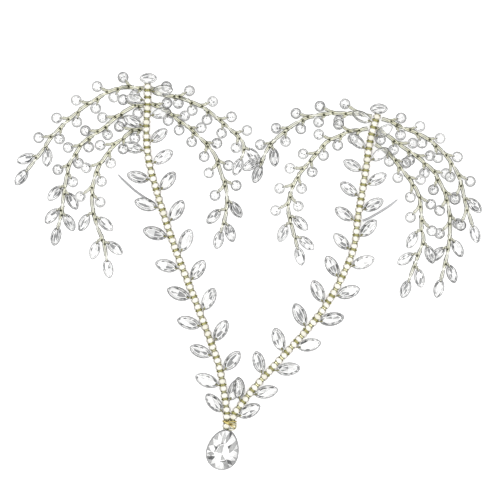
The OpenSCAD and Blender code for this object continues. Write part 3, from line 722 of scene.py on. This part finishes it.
# Knots from the chain outwards, whether the branch is raised, and where it starts to climb.
# Then for each side the first sprig, pitch, growth, number of round stones, reach at the
# first and last of them, angle at the first and last, and number, reach and angle of the
# pointed stones.
BRANCHES = {
    "left_outer_high": [
        [[-34.1, 156.4], [-41.7, 156.7], [-48.2, 154.8], [-54.6, 151.1], [-60.4, 147.3],
         [-67.5, 141], [-73.3, 135], [-77.2, 129.2], [-83.4, 121.3]],
        True, 4, [0, 9.6, 0.25, 5, 4.5, 5.4, 44, 36, 1, 5.2, 38],
        [4.9, 9.5, 0.4, 5, 5.6, 6.2, 48, 40, 1, 5.3, 42]],
    "left_outer_mid": [
        [[-34.2, 149], [-38.3, 148.3], [-44.7, 144.5], [-51.2, 139], [-58.9, 133.7], [-62.4, 129],
         [-65.8, 123], [-67.7, 112.7], [-69, 102.8], [-70.4, 96.8]],
        False, 0, [0.6, 8.6, 0.1, 6, 2.9, 4.8, 62, 38, 2, 5.2, 50],
        [2, 9.8, 0, 5, 6.8, 5.8, 28, 40, 2, 5.5, 46]],
    "left_outer_low": [
        [[-34.6, 139], [-38.3, 138], [-42.6, 134.6], [-46, 132], [-50.3, 126.4], [-53.8, 120.4],
         [-55.4, 114], [-55.7, 107], [-53.8, 98], [-50.7, 90], [-49.5, 83]],
        True, -1, [0, 8.3, 0.6, 5, 5, 5.4, 42, 46, 2, 5.5, 45],
        [2.8, 9.8, 0.5, 4, 6.9, 7.2, 30, 40, 2, 6.2, 52]],
    "left_inner_high": [
        [[-29.8, 156], [-26.7, 154.2], [-23.2, 153], [-20.2, 152.9], [-14.3, 150.8], [-8.9, 148.4],
         [-4, 145], [2.8, 139.3], [8.6, 133.6], [9.2, 128.8], [8.4, 126.4]],
        True, 8.5, [0, 11.3, -0.8, 5, 6, 5.7, 42, 50, 1, 5.4, 52],
        [9.1, 8, 0.3, 5, 3.2, 5, 52, 56, 0, 0, 0]],
    "left_inner_low": [
        [[-29.7, 149.4], [-26.7, 147.9], [-23.2, 146.2], [-18.5, 142.4], [-14.3, 139.6],
         [-10.1, 135.7], [-6, 131.6], [-2.7, 127], [-0.6, 120.4], [1.9, 112.7], [1.8, 103.2],
         [-0.3, 95.3]],
        False, 0, [0, 9.2, 0, 6, 4.4, 6, 32, 44, 2, 5.5, 46],
        [6.4, 6.8, 0.75, 6, 3.4, 6.6, 50, 58, 1, 6.6, 52]],
    "right_inner_high": [
        [[64.3, 144.2], [59.3, 145.3], [52.9, 145.6], [45.2, 145.4], [37.8, 144.1], [31, 140.8],
         [25.4, 136.5], [21.9, 133.3], [18.9, 129], [16.7, 123.4]],
        False, 0, [10.1, 9.5, 0, 4, 4.4, 4.8, 38, 48, 1, 5.3, 56],
        [4.3, 11.4, -0.6, 5, 7, 5.4, 22, 38, 1, 5.3, 50]],
    "right_inner_low": [
        [[62.6, 139.1], [59.3, 138.5], [55, 137.8], [51.2, 136.1], [44.7, 132.9], [40.2, 127.7],
         [34, 120.4], [30.7, 114.8], [28.8, 108.4], [28.6, 102.8], [30.5, 95], [32.3, 88.2]],
        True, 2.5, [2.6, 8.6, 0.1, 6, 4.4, 6, 36, 50, 2, 5.9, 46],
        [7.5, 8.7, -0.1, 6, 5.9, 6.6, 44, 50, 1, 6, 48]],
    "right_outer_high": [
        [[68.7, 143.2], [71.8, 142.3], [78.3, 139.1], [84.7, 136.5], [90.3, 132.9], [95.9, 127.5],
         [100.6, 120.6], [102.8, 114.4], [104.3, 107.5], [107.3, 97.8]],
        True, 5, [3.1, 8.8, 0.5, 5, 4, 6.4, 36, 34, 1, 5.5, 42],
        [6, 9.4, 0.35, 6, 4.6, 8, 36, 36, 0, 0, 0]],
    "right_outer_mid": [
        [[67.3, 138.6], [71.4, 135.9], [77, 131.6], [83.4, 127.3], [90.3, 121.3], [93.5, 116.1],
         [96.3, 110.1], [97.7, 102.8], [98, 95], [96.9, 85.6], [94.2, 74.4]],
        False, 0, [9.7, 9.6, 0.2, 5, 6.8, 5, 36, 34, 2, 5.8, 42],
        [0, 7.3, 0.6, 7, 3, 6.8, 46, 44, 1, 5.7, 48]],
    "right_outer_low": [
        [[65.9, 132.3], [68.6, 130.5], [72, 128.2], [75.9, 122.9], [80.4, 117.2], [83.9, 111.6],
         [85.4, 104.1], [85.6, 96.3], [86.4, 91.2], [84.7, 86], [80.2, 74]],
        True, 5, [10.2, 9.4, 0.25, 4, 5.4, 7, 36, 40, 2, 6.2, 40],
        [4.7, 9, 0.5, 4, 4.4, 7, 38, 46, 2, 6.2, 48]],
}


def height_at(s, raised, climb_at):
    """Height of the wire: a smooth step, three squares less two cubes of the share of the climb,
    from the low to the high level."""
    f = np.clip((s - climb_at) / CLIMB, 0, 1)
    return ROOT_Z + raised * (RAISED_Z - ROOT_Z) * f * f * (3 - 2 * f)


def sprigs_of(line, raised, climb_at, row, side):
    """One side's sprigs: the distance of each along the branch, its foot on the wire, the
    branch's heading there, the middle and turn of its stone, and whether that is pointed. Each
    pitch is longer than the last by the growth; reach and angle change evenly, and the reach is
    at least what keeps the round stones clear of the branch."""
    (first, pitch, growth, rounds, reach, reach_end, turn, turn_end,
     points, point_reach, point_turn) = row
    i = np.arange(rounds + points)
    s = first + i * pitch + i * (i - 1) / 2 * growth
    pointed = i >= rounds
    share = i / max(1, rounds - 1)
    angle = np.radians(np.where(pointed, point_turn, turn + (turn_end - turn) * share))
    beside = ROUND_D / 2 + SPINE_D / 2 + 3 * SEAT
    round_reach = np.maximum(reach + (reach_end - reach) * share, beside / np.sin(angle))
    out = np.where(pointed, point_reach, round_reach)
    heading = line.heading(s)
    foot = line.place(s, height_at(s, raised, climb_at))
    middle = foot + out[:, None] * spoke(heading + side * angle)
    stone_turn = heading + side * angle * np.where(pointed, POINT_FOLLOW, 1)
    return s, foot, heading, middle, stone_turn, pointed


def twisted_pair(path, width, pitch):
    """Two strands that wind round a path half a turn apart, each half as thick as the pair is
    wide. They lie side by side most of the way and cross over quickly: the angle is the turn
    less a sine of twice that. Also gives every point's share of the way from the middle line to
    the pair's edge."""
    turned = np.pi * distances(path) / pitch
    along = unit(np.gradient(path, axis=0))
    side = unit(np.cross([0, 0, 1], along))
    up = np.cross(along, side)
    width = np.broadcast_to(width, len(path))[:, None]
    strands, outward = [], []
    for phase in (0, np.pi):
        angle = (2 * turned - STRAND_REST * np.sin(4 * turned) + phase)[:, None]
        off = width / 4 * (np.cos(angle) * side + np.sin(angle) * up)
        strands.append(wire(path + off, width[:, 0] / 4, STRAND_SIDES))
        rings = strands[-1][0].reshape(len(path), -1, 3) - path[:, None]
        outward.append((np.abs(np.einsum("ijk,ik->ij", rings, side)) / (width / 2)).ravel())
    return join(strands), np.concatenate(outward)


def even_steps(path, step):
    """The same path with points at equal distances of about a step."""
    s = distances(path)
    t = np.linspace(0, s[-1], max(4, int(s[-1] / step) + 1))
    return np.stack([np.interp(t, s, path[:, k]) for k in range(3)], -1)


def stem_path(foot, out, edge, way):
    """Path of a sprig's wires: along the branch before its foot, then in one smooth bend to the
    edge of the stone, which they meet along its own direction."""
    knots = [foot - STEM_START * out, foot - STEM_LEAVES * out,
             foot + STEM_BEND[0] * (edge - foot) + STEM_BEND[1] * out, edge - STEM_HELD * way]
    return even_steps(smooth(knots, 12), STEM_STEP)


def near_spots(points, spots, size):
    """How near each point is to its nearest spot, seen from above: a bell curve of this size."""
    away = np.linalg.norm(points[:, None, :2] - spots[:, :2], axis=-1).min(1)
    return np.exp(-(away / size) ** 2)


pale = metal("pale_gold_wire", 0.2, (0.32, 0.46), bump_depth=0.02)
lit_pale = pale.between(read_mark(pale, "greyed"), PALE_WARM, PALE_GREYED)
# Painted shade: the shade mark mixes the pale gold towards near-black
pale.put(pale.shader, {"Base Color": pale.between(read_mark(pale, "dim"), lit_pale, PALE_SHADE)})

bead_angles = 2 * np.pi * np.arange(BEAD_CORNERS) / BEAD_CORNERS
bead = cut_stone((ROUND_D / 2 + OVER) * spoke(bead_angles)[:, :2], BEAD_T, **BEAD_CUT)
pointed_stone = cut_stone(pointed_outline(POINT_L, POINT_W, BEAD_CORNERS), BEAD_T, **LEAF_CUT)

for number, (branch_name, (knots, raised, climb_at, *side_rows)) in enumerate(BRANCHES.items()):
    line = Line(knots)
    sides = [sprigs_of(line, raised, climb_at, row, side) for row, side in zip(side_rows, (1, -1))]
    s_foot, foot, heading, middle, turn, pointed = (np.concatenate(both) for both in zip(*sides))
    way = spoke(turn)
    edge = middle - np.where(pointed, POINT_L / 2, ROUND_D / 2)[:, None] * way
    tip = line.place(line.length, height_at(line.length, raised, climb_at))
    tip_turn = line.heading(line.length)
    tip_way = spoke(tip_turn)

    # The wires, each with how far outward in its pair a point is and how far along the branch
    s = np.linspace(0, line.length, int(line.length / SPINE_TWIST * TWIST_STEPS))
    width = SPINE_D * (SPINE_SPREAD - SPINE_TAPER * s / line.length)
    heights = np.maximum(height_at(s, raised, climb_at), width / 2 + FLOOR_GAP)
    spine, outward = twisted_pair(line.place(s, heights), width, SPINE_TWIST)
    parts = [(spine, outward, np.tile(np.repeat(s / line.length, STRAND_SIDES), 2))]
    for share, *ends in zip(s_foot / line.length, foot, spoke(heading), edge, way):
        path = stem_path(*ends)
        width = STEM_D * np.interp(np.linspace(0, 1, len(path)), STEM_SHARES, STEM_SPREAD)
        parts.append((*twisted_pair(path, width, STEM_TWIST), share))
    edges, ways = np.vstack([edge, tip + SEAT * tip_way]), np.vstack([way, tip_way])
    holes = np.where(np.append(pointed, True), POINT_HOLE, BEAD_HOLE)
    for share, *held in zip(np.append(s_foot, line.length) / line.length, edges, ways, holes):
        loop = stone_loop(*held, (1 - WIDEST) * BEAD_T * BEAD_LOOP_TOP,
                          BEAD_LOOP_RISE - WIDEST * BEAD_T, BEAD_LOOP_FLOOR, STEM_D / 4)
        parts.append((loop, LOOP_OUTWARD, (1 + min(1, share)) / 2))
    wires = join([shape for shape, _, _ in parts])
    outward, shares = (np.concatenate([np.broadcast_to(part[k], len(part[0][0]))
                                       for part in parts]) for k in (1, 2))

    # Their marks: painted shade on the edges and in the crotches, and a greyer gold towards the
    # tip
    crotches = foot + CROTCH_ALONG * spoke(heading) + CROTCH_OUT * unit(edge - foot)
    spots = np.vstack([crotches, edges + holes[:, None] * ways])
    dims = np.maximum(EDGE_DIM * np.clip((outward - EDGE_FROM) / EDGE_OVER, 0, 1),
                      PAIR_DIM * painted_side_shade(wires) ** 2)
    dims = np.clip(dims + SPOT_DIM * near_spots(wires[0], spots, SPOT_SIZE), 0, 1)
    greys = np.clip(GREY_LEVEL + GREY_GROWTH * shares
                    - SPOT_WARMTH * near_spots(wires[0], spots, WARM_SIZE), 0, 1)
    add_piece(branch_name + "_twisted_wire", wires, pale, "pale_gold_wire", branch_name + "_wire",
              dim=dims, greyed=greys)

    # The stones, sunk so that their solids are widest at the height of the wire
    sink = [0, 0, WIDEST * BEAD_T]
    tip_middle = tip + (SEAT + POINT_L / 2) * tip_way
    round_turns, point_turns = turn[~pointed], np.append(turn[pointed], tip_turn)
    stones = [set_out(bead, middle[~pointed] - sink, round_turns),
              set_out(pointed_stone, np.vstack([middle[pointed], tip_middle]) - sink, point_turns)]
    tones = [facet_tones(bead, len(round_turns), BEAD_SEED + number, BEAD_CHANCE, CLEAR_BEAD,
                         BEAD_RIM),
             facet_tones(pointed_stone, len(point_turns), POINT_SEED + number, LEAF_CHANCE,
                         CLEAR_LEAF, LEAF_RIM)]
    add_piece(branch_name + "_cut_stones", join(stones), glass, "clear_stone",
              branch_name + "_stones", flat=True, tone=np.concatenate(tones))


# ----------------------------------------------------------------
# The drop. A large pear-shaped stone of cut glass, with a smaller table than a leaf stone's
# and a flat back, lies below the point of the V. The tied ends of the chains meet its tip.
# ----------------------------------------------------------------

DROP_R, DROP_TIP, DROP_T, DROP_TURN, DROP_Y = 7.05, 10.9, 4.4, 14, -0.7
DROP_CORNERS, DROP_POINTED = 32, 1.15
DROP_CUT = {"table": 0.42, "star": 0.68, "edge": 0.93, "back": 0.93, "girdle": 0.2,
            "edge_rise": 0.3}
DROP_RIM, CLEAR_DROP, DROP_SEED = 0.08, 0.7, 3
# Painted reflections: how light the facets look that aren't clear, anticlockwise from the right
DROP_TONES = {
    "kite": {1: 0.3, 3: 0.18, 4: 0.3, 8: 0.18, 9: 0.02, 13: 0.2, 14: 0.05},
    "upper": {3: 0.01, 5: 0.3, 6: 0.3, 7: 0.3, 9: 0.1, 10: 0.3, 11: 0.25, 13: 0.3, 15: 0.2,
              16: 0.25, 17: 0.3, 18: 0.3, 22: 0.25, 23: 0.3, 24: 0.25, 26: 0.25, 27: 0.2,
              30: 0.18, 31: 0.2},
    "star": {1: 0.2, 2: 0.02, 5: 0.2, 7: 0.04, 13: 0.35, 14: 0.25},
    "core": {2: 0.18, 3: 0.25, 6: 0.15}}


def drop_outline(corners):
    """A half circle below and a half ellipse above, drawn in towards its point by a power."""
    a = 2 * np.pi * np.arange(corners) / corners
    above = np.sin(a) > 0
    across = np.sign(np.cos(a)) * np.abs(np.cos(a)) ** np.where(above, DROP_POINTED, 1)
    return np.column_stack([DROP_R * across, np.where(above, DROP_TIP, DROP_R) * np.sin(a)])


drop = cut_stone(drop_outline(DROP_CORNERS), DROP_T, **DROP_CUT)
tones = facet_tones(drop, 1, DROP_SEED, (0, 0), CLEAR_DROP, DROP_RIM)
quads, triangles = (len(f) for f in drop[1][:2])
first = {"kite": 2 * DROP_CORNERS, "upper": quads, "star": quads + DROP_CORNERS,
         "core": quads + triangles - BACK_WEDGES}
for kind, marks in DROP_TONES.items():
    tones[first[kind] + np.array(list(marks))] = list(marks.values())
add_piece("drop_cut_stone", set_out(drop, np.array([[0, DROP_Y, 0]]), np.radians([-DROP_TURN])),
          glass, "clear_stone", "drop_stone", flat=True, tone=tones)


# ----------------------------------------------------------------
# The tie. Soft gold wire is wound four times round both chains just above the drop, each
# turn more aslant than the last, and its loose end is brought down over the turns.
# ----------------------------------------------------------------

TIE_RADIUS, TIE_SIDES, TIE_STEP, TIE_TOP = 0.31, 8, 0.35, WRAP_Z + 0.5
TIE_TILTS, TIE_PITCH = (87, 78, 69, 61), 0.5
# Two shaded places on the turns, and how strong, wide and high the shade is
TIE_SHADES = [[-1.2, 2.05], [0.3, 0.65]]
SHADE_DIM, SHADE_WIDE, SHADE_HIGH = 1.2, 0.8, 0.3
TAIL_RADIUS, TAIL_TOP = 0.2, CHAIN_LIFT + CUP_H + 0.25 + BINDING_D / 2
TAIL_KNOTS = [[-0.6, 1.6, WRAP_Z + 0.4], [0.9, 1.5, TAIL_TOP], [2.4, 1.0, TAIL_TOP + 0.1],
              [2.9, -0.3, TAIL_TOP - 0.2], [1.9, -1.6, TAIL_TOP - 0.6],
              [0.2, -1.8, TAIL_TOP - 0.7], [-1.1, -1.5, TAIL_TOP - 0.8]]
TAIL_DIM, TAIL_GREY = 0.8, 0.3
# The loose end gets painted shade leftwards from this place, fully this much on
TAIL_SHADE_FROM, TAIL_SHADE_OVER = 0.4, 1.2

left_end, right_end = np.array(LEFT_LINE[-1]), np.array(RIGHT_LINE[-1])
centre = np.array([*(left_end + right_end) / 2, 0])
tail = wire(smooth(np.array(TAIL_KNOTS) + centre, 8), TAIL_RADIUS, TIE_SIDES)
leftward = np.clip((TAIL_SHADE_FROM - tail[0][:, 0] + centre[0]) / TAIL_SHADE_OVER, 0, 1)
# Painted shade on the loose end's sides and towards its left
add_piece("drop_tie_end", tail, gold, "gold_chain",
          dim=np.clip(TAIL_DIM * painted_side_shade(tail) + leftward ** 2, 0, 1),
          greyed=np.full(len(leftward), TAIL_GREY))

tie_half = np.linalg.norm(left_end - right_end) / 2 + CUP_D / 2 + WRAP_GAP + BINDING_D / 2
tie_turn = wrap_turn(tie_half, RUN_Z, TIE_TOP)
tie_turn = even_steps(np.vstack([tie_turn, tie_turn[:1]]), TIE_STEP)[:-1]
tie_turn = wire(tie_turn, TIE_RADIUS, TIE_SIDES, (1, 0, 0), closed=True)
tie_places = centre + [[0, END_PITCH / 2 - TIE_PITCH * i, 0] for i in range(len(TIE_TILTS))]
tie = set_out(tie_turn, tie_places, np.radians(TIE_TILTS))
x, y = (tie[0] - centre)[:, :2].T
shade = sum(SHADE_DIM * np.exp(-((x - across) / SHADE_WIDE) ** 2 - ((y - up) / SHADE_HIGH) ** 2)
            for across, up in TIE_SHADES)
# Painted shade on the turns' sides and at the two shaded places
add_piece("drop_tie", tie, soft, "gold_chain", "drop_binding",
          dim=np.clip(painted_side_shade(tie) + shade, 0, 1), warm=np.ones(len(x)))


# ----------------------------------------------------------------
# The hair pins. One prong of a plain bent steel pin shows beside each chain; it goes below
# the chain and ends in a ground point.
# ----------------------------------------------------------------

PIN_D, PIN_SIDES, PIN_Z = 0.8, 12, 0.55
PIN_POINT, PIN_SWELL, PIN_TAPER = 0.5, 0.85, 0.3
PIN_GREYS = (0.4, 0.4, 0.41, 1), (0.5, 0.5, 0.51, 1)
PIN_LINES = {
    "left": [[-44.7, 119.3], [-41.7, 116.3], [-37.4, 112.4], [-32.5, 109], [-28.7, 106.6]],
    "right": [[75.5, 108.6], [72.2, 106], [67.9, 103.2], [63.4, 100.7], [60.5, 99.4]]}

steel = metal("plain_steel", 0.4, (0.25, 0.45))
steel.put(steel.shader, {"Base Color": steel.between(steel.grain, *PIN_GREYS)})
for side_name, knots in PIN_LINES.items():
    prong = smooth(knots)
    taper = np.clip(np.linspace(0, 1, len(prong)) / PIN_TAPER, 0, 1)
    radius = PIN_D / 2 * (PIN_POINT + PIN_SWELL * taper ** 0.5)
    prong = np.column_stack([prong, np.full(len(prong), PIN_Z)])
    add_piece(side_name + "_pin_prong", wire(prong, radius, PIN_SIDES), steel, "steel_pin",
              side_name + "_hair_pin")
